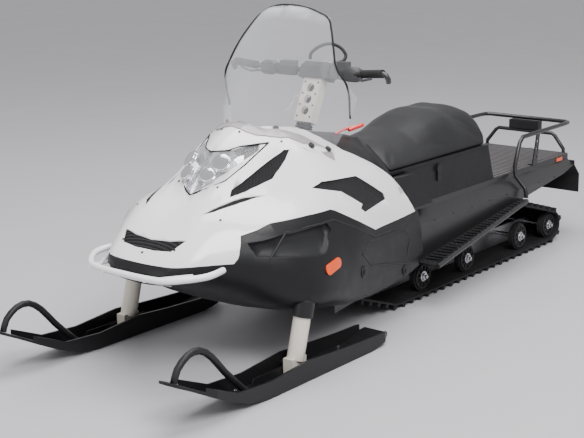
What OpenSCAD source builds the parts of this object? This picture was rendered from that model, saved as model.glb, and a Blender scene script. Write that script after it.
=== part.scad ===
// Wide-track utility snowmobile, millimetres.
// +X is forward, +Y is the vehicle's left, +Z is up; the origin is on the ground under its middle.

/* [Overall] */
// Length from ski tips to snow flap
overall_l = 3320; // [3200:10:4000]
// Distance between the two ski centres
ski_stance = 900; // [880:5:960]
// Width of the drive track
track_w = 600; // [480:10:604]

/* [Bodywork] */
// Wall of the hood and the belly pan
skin_wall = 4; // [3:0.5:6]
// Gap along the seam between two body panels
seam_gap = 0.8; // [0.4:0.1:0.9]
// Depth of the pocket in each side panel
pocket_depth = 26; // [16:1:34]
// Thickness of the windshield, measured along the vehicle
screen_t = 4; // [3:0.5:6]

/* [Tunnel and cargo deck] */
// Half width of the tunnel's flat top
tunnel_top_half = 250; // [220:5:290]
// Height of the tunnel's top above the ground
tunnel_top_z = 425; // [415:1:435]
// Sheet thickness of the tunnel
tunnel_wall = 4; // [3:0.5:6]
// Thickness of the cargo deck
deck_t = 6; // [4:1:10]
// Outer radius of the rack and hoop tube
rack_r = 11; // [8:0.5:14]
// Height of the rack rails above the cargo deck
rack_h = 163; // [120:1:220]

/* [Seat and storage box] */
// Height of the storage box
box_h = 165; // [130:5:220]
// Wall of the storage box
box_wall = 4; // [3:0.5:8]
// Thickness of the board under the seat
board_t = 12; // [8:1:18]
// Radius of the two seat hinge pins
hinge_pin_r = 4; // [3:0.5:6]

/* [Track and skid] */
// Thickness of the track's belt
belt_t = 8; // [6:1:12]
// Height of the track's lugs
lug_h = 18; // [12:1:30]
// Distance from one lug to the next
lug_pitch = 64; // [50:1:80]
// Radius of the road wheels
wheel_r = 66; // [60:1:72]
// Radius of the wheel axles
axle_r = 10; // [8:0.5:14]

/* [Steering and skis] */
// Rake of the steering post, degrees
post_rake = 24.3; // [20:0.1:28]
// Width of the steering post
post_w = 90; // [70:1:110]
// Depth of the steering post
post_d = 46; // [36:1:60]
// Radius of the steering post's lower bearing journal
journal_r = 15; // [12:0.5:20]
// Outer radius of the handlebar tube
bar_r = 11; // [9:0.5:14]
// Rake of the ski struts, degrees
strut_rake = 16; // [12:0.5:20]
// Outer radius of the ski struts
strut_r = 34; // [26:1:38]
// Wall of the strut housings
housing_wall = 6.5; // [5:0.5:9]
// Width of one ski
ski_w = 150; // [120:5:180]
// Thickness of the ski's sole
sole_t = 10; // [8:1:14]

/* [Tow hitch] */
// Radius of the hitch pin's bore
hitch_r = 10; // [6:0.5:14]
// Thickness of the hitch tongue
hitch_t = 10; // [8:1:16]

/* [Hidden] */
// Running clearance between a pin or shaft and its bore
run_gap = 0.05;
// Gap where one still piece rests on another
seat_gap = 0.3;
// Working gap beside a piece that moves
move_gap = 6;
EPS = 0.01;
$fn = 48;

front_x = overall_l / 2;
rear_x = -overall_l / 2;
tunnel_rear_x = rear_x + 70;
tunnel_front_x = 520;
tunnel_side_half = track_w / 2 + 4 + tunnel_wall;
tunnel_slope = 0.125;
edge_z = 180;
shoulder_z = tunnel_top_z - 25;
flare_z = tunnel_top_z - 73;
box_top_z = tunnel_top_z + box_h;
seat_z = box_top_z + seat_gap;
cushion_z = seat_z + board_t;
seat_front_x = 35;
seat_rear_x = -773;
hinge_y = -tunnel_top_half - 13;
hinge_z = seat_z + 8;
deck_front_x = -840;
deck_z = tunnel_top_z + deck_t;
rail_z = deck_z + rack_h;
hoop_x = tunnel_rear_x + 14;
rack_rear_x = tunnel_rear_x - 6;

// The drive sprockets, the carrier wheels and the road wheels: [x, z]
sprocket_r = 90;
SPROCKET = [345, 224];
carrier_r = 50;
CARRIER = [-850, 259];
belt_in_z = belt_t + lug_h;
wheel_z = belt_in_z + wheel_r;
idler_x = rear_x + 305;
WHEEL_X = [-185, -560, -1060, idler_x];
wheel_y = track_w / 2 - 45;
rail_y = 130;
nose_r = 150;
NOSE = [30, belt_in_z + nose_r];

// The steering post stands on POST; the ski struts turn about axes through STRUT
POST = [314, 0, 836];
post_l = 191;
STRUT = [955, 0, 60];
housing_r = strut_r + run_gap + housing_wall;
strut_l = 222;

// ---- Shared shapes ----

function unit(v) = v / norm(v);
function mid_list(P) = [for (i = [1:len(P) - 2]) P[i]];
function spline(a, b, c, d, t) =
    0.5 * (2 * b + (c - a) * t + (2 * a - 5 * b + 4 * c - d) * t * t
    + (3 * b - a - 3 * c + d) * t * t * t);
function smooth(P, steps) = let (n = len(P) - 1)
    [for (i = [0:n - 1]) for (k = [0:steps - 1])
        spline(P[max(i - 1, 0)], P[i], P[i + 1], P[min(i + 2, n)], k / steps), P[n]];
function mirrored(P) = [for (p = P) [p[0], -p[1], p[2]]];
function reversed(P) = [for (i = [len(P) - 1:-1:0]) P[i]];

// A closed solid through rings that run clockwise as seen from the last one
module loft(R) {
    m = len(R[0]);
    n = len(R);
    sides = [for (k = [0:n - 2]) for (j = [0:m - 1])
        let (a = k * m + j, b = k * m + (j + 1) % m)
        each [[a, b, b + m], [a, b + m, a + m]]];
    first = [for (j = [m - 1:-1:0]) j];
    last = [for (j = [0:m - 1]) (n - 1) * m + j];
    polyhedron([for (ring = R) each ring], concat(sides, [first, last]));
}

// A round tube along a route of points
module tube(P, r, sides = 10) {
    n = len(P) - 1;
    T = [for (i = [0:n]) unit(P[min(i + 1, n)] - P[max(i - 1, 0)])];
    start = unit(cross(T[0], abs(T[0][2]) > 0.8 ? [0, 1, 0] : [0, 0, 1]));
    N = [for (i = 0, v = start; i <= n;
        v = unit(v - (v * T[min(i + 1, n)]) * T[min(i + 1, n)]), i = i + 1) v];
    loft([for (i = [0:n]) let (b = cross(T[i], N[i]))
        [for (k = [0:sides - 1]) let (a = 360 * k / sides) P[i] + r * (cos(a) * N[i] - sin(a) * b)]]);
}

module rod(a, b, r) {
    v = b - a;
    translate(a)
        rotate([0, acos(v[2] / norm(v)), atan2(v[1], v[0])])
            cylinder(r = r, h = norm(v));
}

module both_sides() {
    children();
    mirror([0, 1, 0]) children();
}

// Extrudes an outline of [x, z] points from y0 to y1
module side_prism(P, y0, y1) {
    translate([0, y1, 0])
        rotate([90, 0, 0])
            linear_extrude(y1 - y0) polygon(P);
}

// A round bar or hole across the vehicle from y0 to y1
module cross_bar(p, r, y0, y1) {
    translate([p[0], y1, p[1]])
        rotate([90, 0, 0])
            cylinder(r = r, h = y1 - y0);
}

// A thin panel moulded in one piece, so that it is kept as one mesh
module moulded() {
    resize([0, 0, 0]) children();
}

module block(low, high) {
    translate(low) cube(high - low);
}

// ---- Body skin ----

// Half sections of the body: [x, points [y, z] from the crown round to the middle of the floor]
BODY = [
    [-90, [[0, 590], [120, 580], [220, 540], [290, 480], [325, 425], [335, 300], [330, 175], [0, 165]]],
    [100, [[0, 690], [130, 680], [245, 645], [320, 565], [365, 440], [372, 300], [345, 155], [0, 140]]],
    [300, [[0, 790], [130, 778], [235, 730], [335, 640], [395, 450], [402, 310], [360, 150], [0, 125]]],
    [500, [[0, 880], [150, 850], [250, 775], [350, 660], [425, 480], [435, 320], [385, 165], [0, 125]]],
    [660, [[0, 900], [130, 875], [215, 825], [320, 715], [405, 575], [462, 345], [425, 200], [0, 135]]],
    [780, [[0, 885], [120, 830], [210, 750], [300, 660], [400, 565], [480, 355], [450, 232], [0, 165]]],
    [900, [[0, 808], [105, 755], [195, 690], [290, 625], [390, 555], [475, 375], [440, 250], [0, 200]]],
    [1020, [[0, 664], [85, 662], [170, 652], [260, 615], [350, 545], [415, 400], [345, 285], [0, 250]]],
    [1120, [[0, 604], [75, 612], [145, 618], [215, 590], [290, 510], [318, 425], [250, 335], [0, 300]]],
    [1220, [[0, 545], [75, 545], [150, 540], [200, 515], [235, 470], [235, 420], [175, 370], [0, 345]]],
    [1300, [[0, 480], [75, 478], [140, 470], [165, 458], [180, 440], [172, 415], [125, 385], [0, 370]]],
    [1340, [[0, 440], [50, 438], [90, 430], [105, 422], [112, 414], [105, 402], [75, 392], [0, 388]]]];
body_last = len(BODY) - 1;
ring_steps = 3;
row_steps = 2;
// The seam between the white hood above and the black belly below, front to rear: [x, z]
SEAM = [
    [1400, 458], [1128, 458], [1112, 475], [1075, 552], [960, 582], [665, 586], [640, 578],
    [378, 447], [75, 440], [-30, 436]];
// Edge of the hood's opening for the console and the windshield, in plan: [x, y]
HOOD_EDGE = [
    [-200, 335], [-20, 325], [68, 300], [200, 265], [353, 225], [503, 155], [640, 120], [740, 45], [752, 0]];

function side_end(P, i) = i < 0 ? [-P[1][0], P[1][1]] : i > 7 ? [-P[6][0], P[6][1]] : P[i];
function body_loop(P) = let (
    half = [for (i = [0:6]) for (k = [0:ring_steps - 1])
        spline(side_end(P, i - 1), P[i], P[i + 1], side_end(P, i + 2), k / ring_steps)],
    n = len(half))
    concat(half, [P[7]], [for (i = [n - 1:-1:1]) [-half[i][0], half[i][1]]]);
function station(i) = BODY[max(0, min(body_last, i))];
function body_ring(t) = let (i = min(floor(t), body_last - 1), f = t - i,
    S = [for (k = [-1:2]) station(i + k)])
    [spline(S[0][0], S[1][0], S[2][0], S[3][0], f), body_loop([for (j = [0:7])
        spline(S[0][1][j], S[1][1][j], S[2][1][j], S[3][1][j], f)])];
function grown(L, d) = let (n = len(L)) [for (i = [0:n - 1])
    let (t = unit(L[(i + 1) % n] - L[(i + n - 1) % n])) L[i] + d * [-t[1], t[0]]];
// Height of the body's upper surface at a place in plan
function skin_z(x, y) = let (
    L = body_ring(lookup(x, [for (i = [0:body_last]) [BODY[i][0], i]]))[1])
    lookup(abs(y), [for (i = [0:4 * ring_steps]) L[i]]);

// The body's outline moved out by d, from one station to another
module skin(d = 0, from = 0, to = body_last) {
    steps = (to - from) * row_steps;
    R = [for (k = [0:steps]) body_ring(from + k / row_steps)];
    loft([for (k = [0:steps]) let (
        x = R[k][0] + (k == steps && to == body_last ? d : k == 0 && from == 0 ? -d : 0))
        [for (p = grown(R[k][1], d)) [x, p[0], p[1]]]]);
}

module shell(outer, inner, from = 0, to = body_last) {
    difference() {
        skin(outer, from, to);
        skin(inner, from, to);
    }
}

function below_seam(drop) = concat(
    [for (p = SEAM) [p[0], p[1] - drop]], [[-400, 436 - drop], [-400, -50], [1400, -50]]);

// ---- Openings in the hood ----

BIG_VENT = [
    [956, 686], [993, 661], [925, 676], [805, 711], [761, 742], [684, 805], [707, 806], [809, 757], [913, 705]];
SLIT = [
    [1124, 144], [1035, 175], [962, 200], [909, 228], [870, 256], [908, 239], [1012, 208], [1082, 179]];
ARROW_VENT = [
    [702, 670], [647, 685], [410, 666], [246, 567], [238, 540], [430, 528], [458, 548], [438, 562], [553, 632]];
GRILLE = [
    [1216, 158], [1232, 90], [1240, 0], [1232, -90], [1216, -158], [1266, -124], [1277, -50], [1277, 50], [1266, 124]];
// Headlight outline seen along its cut: [y, distance up the slope from its lower tip]
HEADLIGHT = [
    [0, -4], [30, 8], [62, 60], [100, 126], [138, 240], [156, 330], [120, 292], [70, 225], [0, 192]];
headlight_tip = [1025, 0, 661];
headlight_tilt = 49.5;

module vent_prisms(margin = 0) {
    both_sides() {
        translate([0, 320, 0])
            rotate([90, 0, 0])
                linear_extrude(200) offset(delta = margin) polygon(BIG_VENT);
        translate([0, 0, 590])
            linear_extrude(120) offset(delta = margin) polygon(SLIT);
        translate([0, 430, 0])
            rotate([90, 0, 0])
                linear_extrude(160) offset(delta = margin) polygon(ARROW_VENT);
    }
}

module grille_prism(margin = 0) {
    translate([0, 0, 480])
        linear_extrude(90) offset(delta = margin) polygon(GRILLE);
}

module headlight_prism(margin = 0) {
    half = mid_list(HEADLIGHT);
    outline = concat(HEADLIGHT, [for (p = reversed(half)) [-p[0], p[1]]]);
    translate(headlight_tip)
        rotate([0, headlight_tilt, 0])
            translate([0, 0, -90])
                rotate([0, 0, 90])
                    linear_extrude(240) offset(delta = margin) polygon(outline);
}

module hood() color([0.93, 0.92, 0.92]) {
    deep = [[-200, 300], [-20, 428], [68, 585], [68, 950], [-300, 950], [-300, 300]];
    moulded() difference() {
        shell(0, -skin_wall);
        side_prism(below_seam(0), -600, 600);
        side_prism(deep, -600, 600);
        linear_extrude(1000) polygon(concat(HOOD_EDGE, reversed([for (p = HOOD_EDGE) [p[0], -p[1]]])));
        vent_prisms();
        grille_prism();
        headlight_prism();
    }
}

module hood_vents() color([0.06, 0.06, 0.065])
    moulded() intersection() {
        shell(-skin_wall - seat_gap, -skin_wall - seat_gap - 3, 1, 8);
        vent_prisms(7);
    }

module nose_grille() color([0.06, 0.06, 0.065])
    moulded() intersection() {
        shell(-skin_wall - seat_gap, -skin_wall - seat_gap - 3, 8, 10);
        grille_prism(6);
    }

module headlight_lens() color([0.85, 0.88, 0.9, 0.4])
    moulded() intersection() {
        shell(-skin_wall - seat_gap, -skin_wall - seat_gap - 3, 4, 8);
        headlight_prism(6);
    }

module headlight_reflector() color([0.75, 0.76, 0.78]) {
    face = -skin_wall - 2 * seat_gap - 3;
    moulded() difference() {
        intersection() {
            shell(face, face - 45, 4, 8);
            headlight_prism(6);
        }
        difference() {
            headlight_prism(0);
            skin(face - 40, 4, 8);
        }
    }
}

// ---- Lower bodywork ----

POCKET = [[1074, 530], [1064, 474], [776, 437], [745, 450], [686, 516], [704, 548], [940, 545]];

module strut_axis(side) {
    translate([STRUT[0], side * ski_stance / 2, STRUT[2]])
        rotate([0, -strut_rake, 0])
            children();
}

// A strut housing's outside, grown all round and lengthened downwards
module housing_form(grow, down) {
    translate([0, 0, strut_l - 52 - down]) cylinder(r = housing_r + grow, h = 62 + down);
    translate([0, 0, strut_l + 10 - EPS])
        cylinder(r1 = housing_r + grow, r2 = housing_r - 18 + grow, h = 20 + grow);
}

module belly_pan() color([0.09, 0.09, 0.1]) {
    slot = tunnel_side_half + 1;
    moulded() difference() {
        shell(0, -skin_wall);
        side_prism(concat([for (p = SEAM) [p[0], p[1] - seam_gap]],
            [[-400, 436], [-400, 1000], [1400, 1000]]), -600, 600);
        side_prism([[-30, 500], [-72, 315], [-64, 254], [43, 153], [60, 100], [-200, 100], [-200, 500]],
            -600, 600);
        block([-200, -slot, 0], [tunnel_front_x + 1, slot, 300]);
        for (side = [-1, 1]) strut_axis(side) housing_form(0.5, 300);
        both_sides() side_prism(POCKET, 250, 600);
    }
}

module side_panels() color([0.13, 0.13, 0.14])
    both_sides() moulded() difference() {
        intersection() {
            translate([0, 600, 0])
                rotate([90, 0, 0])
                    linear_extrude(300) offset(delta = -seat_gap) polygon(POCKET);
            shell(0, -pocket_depth, 3, 8);
        }
        difference() {
            translate([0, 610, 0])
                rotate([90, 0, 0])
                    linear_extrude(330) offset(delta = -5) polygon(POCKET);
            skin(-pocket_depth + 4, 3, 8);
        }
    }

module front_bumper() color([0.93, 0.93, 0.93]) {
    hoop = [[1168, 292.2, 440], [1252, 294, 436], [1330, 240, 431], [1374, 174, 427], [1386, 60, 426]];
    tube(concat(smooth(hoop, 3), smooth(reversed(mirrored(hoop)), 3)), 13);
    both_sides() rod([1376, 150, 427], [1262, 228, 428], 9);
}

module reflectors() color([1, 0.35, 0.02]) {
    moulded() intersection() {
        shell(5, seat_gap, 4, 6);
        both_sides() translate([735, 600, 386])
            rotate([90, 0, 0])
                rotate([0, 0, -8])
                    hull() {
                        translate([-36, 0, 0]) cylinder(r = 20, h = 300, $fn = 24);
                        translate([36, 0, 0]) cylinder(r = 20, h = 300, $fn = 24);
                    }
    }
    both_sides() block(
        [tunnel_rear_x + 70, tunnel_top_half + seat_gap, shoulder_z + 4],
        [tunnel_rear_x + 130, tunnel_top_half + 5, tunnel_top_z - 4]);
}

// ---- Windshield ----

screen_base_x = 745;
SCREEN_SPREAD = 2.2;
// Rows up the windshield: [height at the middle, height at the edge, half width, x at the edge, roundness]
SCREEN = [
    [940, 895, 322, 428, 1.8], [1010, 985, 356, 428, 1.6], [1060, 1035, 322, 450, 1.6],
    [1120, 1095, 284, 462, 1.6], [1200, 1180, 246, 436, 1.6], [1280, 1245, 212, 402, 1.6],
    [1336, 1290, 182, 380, 1.6]];
screen_foot = 7;
screen_steps = 8;

function screen_x(z) = 768 - (z - 888) * 366 / 448;
function base_point(u) = let (y = 262 * u, x = screen_base_x - 275 * pow(abs(u), SCREEN_SPREAD))
    [x, y, skin_z(x, y) + screen_foot];
function screen_point(row, u) = let (
    z = row[0] + (row[1] - row[0]) * u * u, x = screen_x(z))
    [x + (row[3] - x) * pow(abs(u), row[4]), row[2] * u, z];
function sheet_ring(P) = concat(P, [for (p = reversed(P)) p - [screen_t, 0, 0]]);

module windshield() color([0.8, 0.85, 0.88, 0.3]) {
    U = [for (k = [screen_steps:-1:-screen_steps]) k / screen_steps];
    moulded() loft(concat([sheet_ring([for (u = U) base_point(u)])],
        [for (row = SCREEN) sheet_ring([for (u = U) screen_point(row, u)])]));
}

module windshield_flange() color([0.55, 0.53, 0.53]) {
    out = [for (k = [-10:10]) let (u = k / 10, p = base_point(u))
        [p[0] + 30 * (1 - 0.5 * pow(u, 4)), p[1] * 1.1]];
    inner = [for (k = [10:-1:-10]) let (u = k / 10, p = base_point(u)) [p[0] - 12, p[1] * 0.98]];
    moulded() intersection() {
        shell(screen_foot - 2.8, seat_gap, 2, 7);
        translate([0, 0, 700]) linear_extrude(260) polygon(concat(out, inner));
    }
}

// ---- Console and steering bearing ----

// Sections of the console: [x, height at the middle, half width at the edge, height at the edge]
CONSOLE = [
    [seat_front_x + move_gap, 724, 290, 545], [60, 724, 288, 560], [113, 767, 276, 608],
    [141, 768, 270, 630], [200, 779, 253, 664], [260, 793, 236, 695], [353, 808, 212, 742],
    [450, 812, 175, 778], [560, 812, 138, 790]];

module console() color([0.1, 0.1, 0.105]) {
    moulded() difference() {
        loft([for (s = CONSOLE) let (
            half = [[s[0], 0, s[1]], [s[0], 0.45 * s[2], s[1] - 8], [s[0], 0.75 * s[2], (s[1] + s[3]) / 2 + 8],
                [s[0], s[2], s[3]], [s[0], s[2] - 4, s[3] - 50], [s[0], 0, s[3] - 60]])
            concat(half, mirrored(reversed(mid_list(half))))]);
        translate(POST)
            rotate([0, -post_rake, 0])
                cylinder(r = journal_r + 8, h = 130, center = true);
    }
    both_sides() side_prism(
        [[seat_front_x + move_gap + 20, 586], [-90, 586], [-232, tunnel_top_z + 2], [-26, tunnel_top_z + 8]],
        tunnel_top_half + seat_gap, tunnel_top_half + 40);
}

module on_post() {
    translate(POST)
        rotate([0, -post_rake, 0])
            children();
}

module post_bellows() color([0.05, 0.05, 0.05])
    on_post() rotate_extrude() polygon([
        [journal_r + run_gap, -48], [journal_r + 7, -48], [journal_r + 7, -26], [journal_r + 24, -22],
        [journal_r + 17, -16], [journal_r + 22, -10], [journal_r + 15, -4], [journal_r + run_gap, -4]]);

module steering_post() color([0.86, 0.83, 0.77]) {
    wall = 5;
    on_post() {
        translate([0, 0, -46]) cylinder(r = journal_r, h = 52);
        difference() {
            translate([-post_d / 2, -post_w / 2, 0]) cube([post_d, post_w, post_l]);
            translate([-post_d / 2 - wall, -post_w / 2 + wall, wall])
                cube([post_d, post_w - 2 * wall, post_l - 2 * wall]);
            for (k = [0:2]) translate([0, 0, 48 + 50 * k])
                rotate([0, 90, 0])
                    cylinder(r = 19, h = post_d);
        }
    }
}

module post_cover() color([0.22, 0.22, 0.23])
    on_post() difference() {
        hull() {
            translate([-32, -75, post_l + seat_gap]) cube([62, 150, 50]);
            translate([-24, -62, post_l + seat_gap]) cube([46, 124, 72]);
        }
        translate([16, 0, post_l + 34])
            rotate([90, 0, 0])
                cylinder(r = bar_r + seat_gap, h = 400, center = true);
    }

// Point on the handlebar where it leaves the clamp
BAR_MID = POST + (post_l + 34) * [-sin(post_rake), 0, cos(post_rake)]
    + 16 * [cos(post_rake), 0, sin(post_rake)];
GRIP = [[288, 280, 1059], [302, 392, 1070]];

module handlebar() color([0.05, 0.05, 0.055]) {
    half = [BAR_MID + [0, 40, 0], BAR_MID + [0, 90, 0], [262, 180, 1047], [278, 235, 1054], GRIP[0],
        GRIP[1], [302, 407, 1064], [292, 411, 1048], [285, 408, 1034]];
    tube(concat(reversed(mirrored(half)), half), bar_r);
}

module grips() color([0.04, 0.04, 0.04])
    for (side = [-1, 1]) let (a = [GRIP[0][0], side * GRIP[0][1], GRIP[0][2]],
        b = [GRIP[1][0], side * GRIP[1][1], GRIP[1][2]])
        difference() {
            rod(a, b, bar_r + 6);
            rod(a - 0.1 * (b - a), a + 1.1 * (b - a), bar_r + run_gap);
        }

module control_blocks() color([0.15, 0.15, 0.16])
    for (side = [-1, 1]) {
        top = side > 0 ? 1096 : 1084;
        hull() {
            block([236, side * 140 - 44, 1024], [268, side * 140 + 44, 1062]);
            block([222, side * 140 - 34, 1028], [256, side * 140 + 34, top]);
        }
        hull() {
            block([252, side * 222 - 34, 1030], [290, side * 222 + 34, 1070]);
            block([262, side * 222 - 22, 1022], [284, side * 222 + 22, 1082]);
        }
        rod([276, side * 240, 1040], [314, side * 296, 1036], 5);
        rod([314, side * 295, 1036], [316, side * 346, 1048], 5);
    }

module handlebar_hose() color([0.04, 0.04, 0.04])
    tube(smooth([[248, -20, 1098], [252, -12, 1122], [240, 20, 1150], [216, 60, 1163], [197, 100, 1148],
        [196, 128, 1118], [216, 132, 1098], [236, 128, 1092]], 3), 7);

// ---- Skis ----

ski_tail_x = 430;
// Height of the sole's underside along the ski: [x, z]
SOLE = [
    [ski_tail_x, 33], [490, 12], [560, 0], [front_x - 470, 0], [front_x - 360, 18], [front_x - 260, 56],
    [front_x - 160, 106], [front_x - 80, 148], [front_x, 186]];
// Height of the side walls above the ground: [x, z]
SKI_WALL = [
    [ski_tail_x, 58], [600, 62], [800, 72], [956, 84], [front_x - 480, 66], [front_x - 300, 78],
    [front_x - 150, 142], [front_x - 60, 178]];
LOOP = [
    [front_x - 432, 22], [front_x - 395, 54], [front_x - 310, 138], [front_x - 245, 212],
    [front_x - 186, 252], [front_x - 126, 250], [front_x - 76, 216], [front_x - 56, 172]];
pin_x = 956;
pin_z = 42;

module ski_plan(w) {
    linear_extrude(300) polygon([
        [ski_tail_x, -w / 2 + 18], [ski_tail_x + 40, -w / 2], [front_x - 190, -w / 2],
        [front_x - 60, -w / 2 + 22], [front_x - 14, -w / 2 + 46], [front_x, -12], [front_x, 12],
        [front_x - 14, w / 2 - 46], [front_x - 60, w / 2 - 22], [front_x - 190, w / 2],
        [ski_tail_x + 40, w / 2], [ski_tail_x, w / 2 - 18]]);
}

module ski_body() {
    sole = concat(SOLE, reversed([for (p = SOLE) p + [0, sole_t]]));
    wall = concat(reversed(SKI_WALL), [for (p = SOLE) p]);
    intersection() {
        union() {
            side_prism(sole, -ski_w / 2, ski_w / 2);
            difference() {
                side_prism(wall, -ski_w / 2, ski_w / 2);
                side_prism(wall, -ski_w / 2 + 8, ski_w / 2 - 8);
            }
            both_sides() side_prism(
                [[800, 1], [front_x - 480, 1], [front_x - 500, 46], [830, 46]], 27, 33);
        }
        ski_plan(ski_w);
    }
    cross_bar([pin_x, pin_z], 8, 22.7, ski_w / 2 - 1);
    cross_bar([pin_x, pin_z], 8, -ski_w / 2 + 1, -22.7);
}

module ski(side) color([0.05, 0.05, 0.055])
    translate([0, side * ski_stance / 2, 0]) ski_body();

module ski_loop(side) color([0.04, 0.04, 0.045])
    translate([0, side * ski_stance / 2, 0])
        tube([for (p = smooth(LOOP, 2)) [p[0], 0, p[1]]], 13);

module strut(side) color([0.86, 0.84, 0.78]) {
    strut_axis(side) translate([0, 0, 6]) cylinder(r = strut_r, h = strut_l - 6);
    translate([pin_x - 42, side * ski_stance / 2 - 22.4, sole_t + seat_gap]) cube([84, 44.8, 70]);
}

module strut_housings() color([0.06, 0.06, 0.065])
    for (side = [-1, 1]) strut_axis(side) difference() {
        housing_form(0, 0);
        translate([0, 0, strut_l - 52 - EPS]) cylinder(r = strut_r + run_gap, h = 58);
    }

module strut_left() strut(1);
module strut_right() strut(-1);
module ski_left() ski(1);
module ski_right() ski(-1);
module ski_loop_left() ski_loop(1);
module ski_loop_right() ski_loop(-1);

// ---- Chassis ----

module tunnel() color([0.1, 0.1, 0.105]) {
    s = tunnel_side_half;
    t = tunnel_top_half;
    w = tunnel_wall;
    half = [[s, 60], [s, flare_z], [t, shoulder_z], [t, tunnel_top_z]];
    half_in = [[s - w, 60], [s - w, flare_z - 2], [t - w, shoulder_z - 2], [t - w, tunnel_top_z - w]];
    outline = concat(half, reversed([for (p = half) [-p[0], p[1]]]),
        [for (p = half_in) [-p[0], p[1]]], reversed(half_in));
    difference() {
        translate([tunnel_rear_x, 0, 0])
            rotate([90, 0, 90])
                linear_extrude(tunnel_front_x - tunnel_rear_x) polygon(outline);
        side_prism([[600, edge_z - 83], [tunnel_rear_x - 50, edge_z - 8 - tunnel_slope * (tunnel_rear_x - 50)],
            [tunnel_rear_x - 50, 0], [600, 0]], -500, 500);
    }
}

module cargo_deck() color([0.3, 0.3, 0.31])
    block([tunnel_rear_x, -tunnel_top_half + 2, tunnel_top_z],
        [deck_front_x, tunnel_top_half - 2, deck_z]);

board_front_x = -76;
board_rear_x = -1000;
board_out = 420;

module running_boards() color([0.08, 0.08, 0.085])
    both_sides() translate([0, 0, edge_z])
        rotate([0, atan(tunnel_slope), 0]) {
            inner = tunnel_side_half + seat_gap;
            translate([0, 0, -5]) linear_extrude(5) polygon([
                [board_front_x, inner], [board_front_x, board_out], [board_rear_x + 15, 352],
                [board_rear_x, 340], [board_rear_x, inner]]);
            rod([board_front_x, board_out, -2], [board_rear_x + 15, 352, -2], 11);
        }

module front_frame() color([0.2, 0.2, 0.21]) {
    block([tunnel_front_x + seat_gap, -tunnel_side_half + 8, 250],
        [tunnel_front_x + 12, tunnel_side_half - 8, tunnel_top_z - tunnel_wall]);
    both_sides() block([tunnel_front_x + 5, 150, 250], [940, 190, 280]);
    block([835, -ski_stance / 2 + housing_r + seat_gap, 252], [905, ski_stance / 2 - housing_r - seat_gap, 278]);
}

module engine_block() color([0.35, 0.35, 0.36])
    block([560, -165, 280 + seat_gap], [960, 165, 560]);

// ---- Track ----

function tangent(a, b) = let (d = [b[0] - a[0], b[1] - a[1]])
    atan2(d[1], d[0]) - acos((a[2] - b[2]) / norm(d));
function turn(a, b) = a > b ? turn(a - 360, b) : a < b - 360 ? turn(a + 360, b) : a;
GUIDES = [
    [idler_x, wheel_z, wheel_r], [NOSE[0], NOSE[1], nose_r],
    [SPROCKET[0], SPROCKET[1], sprocket_r], [CARRIER[0], CARRIER[1], carrier_r]];
guide_count = len(GUIDES);
function guide(i) = GUIDES[(i + guide_count) % guide_count];
// Stops along the belt's inner face: [point, outward normal]
BELT = [for (i = [0:guide_count - 1]) let (
        c = guide(i), out = tangent(c, guide(i + 1)), into = turn(tangent(guide(i - 1), c), out),
        steps = ceil((out - into) / 9))
    for (k = [0:steps]) let (a = into + (out - into) * k / steps, n = [cos(a), sin(a)])
        [[c[0], c[1]] + c[2] * n, n]];
belt_stops = len(BELT);
function stop_at(i) = BELT[i % belt_stops];
REACH = [for (i = 0, s = 0; i <= belt_stops; s = s + norm(stop_at(i + 1)[0] - stop_at(i)[0]), i = i + 1) s];
belt_l = REACH[belt_stops];
lug_count = round(belt_l / lug_pitch);
function along(s) = let (q = (s + belt_l) % belt_l,
    i = max([for (k = [0:belt_stops - 1]) REACH[k] <= q ? k : 0]),
    f = (q - REACH[i]) / (REACH[i + 1] - REACH[i]))
    [stop_at(i)[0] * (1 - f) + stop_at(i + 1)[0] * f, unit(stop_at(i)[1] * (1 - f) + stop_at(i + 1)[1] * f)];
function off_belt(s, h) = let (p = along(s)) p[0] + h * p[1];

module track_belt() color([0.04, 0.04, 0.042]) {
    pitch = belt_l / lug_count;
    outline = [for (i = [0:lug_count - 1]) let (s = i * pitch) each [
        off_belt(s - 11, belt_t), off_belt(s - 7, belt_t + lug_h), off_belt(s + 7, belt_t + lug_h),
        off_belt(s + 11, belt_t), off_belt(s + pitch / 2, belt_t)]];
    difference() {
        side_prism(outline, -track_w / 2, track_w / 2);
        side_prism([for (b = BELT) b[0]], -track_w, track_w);
    }
}

module slide_rails() color([0.5, 0.5, 0.52]) {
    low = belt_in_z + seat_gap;
    nose = [for (a = [-90:8:-42]) NOSE + (nose_r - seat_gap) * [cos(a), sin(a)]];
    both_sides() difference() {
        side_prism(concat([[idler_x + 14, low]], nose,
            [[120, 112], [60, 112], [-40, 116], [idler_x - 26, 116], [idler_x - 26, 70]]),
            rail_y - 7, rail_y + 7);
        for (x = WHEEL_X) cross_bar([x, wheel_z], axle_r + run_gap, 0, 300);
    }
}

module wheel_disc(p, r, y) {
    cross_bar(p, r, y - 13, y + 13);
    cross_bar(p, 26, y - 19, y + 19);
}

module bogie_wheels() color([0.06, 0.06, 0.06])
    both_sides() {
        for (x = WHEEL_X) difference() {
            wheel_disc([x, wheel_z], wheel_r - seat_gap, wheel_y);
            cross_bar([x, wheel_z], axle_r + run_gap, 0, 400);
        }
        difference() {
            wheel_disc(CARRIER, carrier_r - seat_gap, 180);
            cross_bar(CARRIER, axle_r + run_gap, 0, 400);
        }
    }

module skid_axles() color([0.6, 0.6, 0.62]) {
    end = wheel_y + 24;
    for (x = WHEEL_X) cross_bar([x, wheel_z], axle_r, -end, end);
    cross_bar(CARRIER, axle_r, -tunnel_side_half + tunnel_wall + seat_gap, tunnel_side_half - tunnel_wall - seat_gap);
}

module drive_axle() color([0.15, 0.15, 0.16]) {
    end = tunnel_side_half - tunnel_wall - seat_gap;
    cross_bar(SPROCKET, 16, -end, end);
    for (y = [-180, -60, 60, 180]) cross_bar(SPROCKET, sprocket_r - seat_gap, y - 14, y + 14);
}

front_arm = [100, 262];
rear_arm = [-640, 278];

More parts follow.
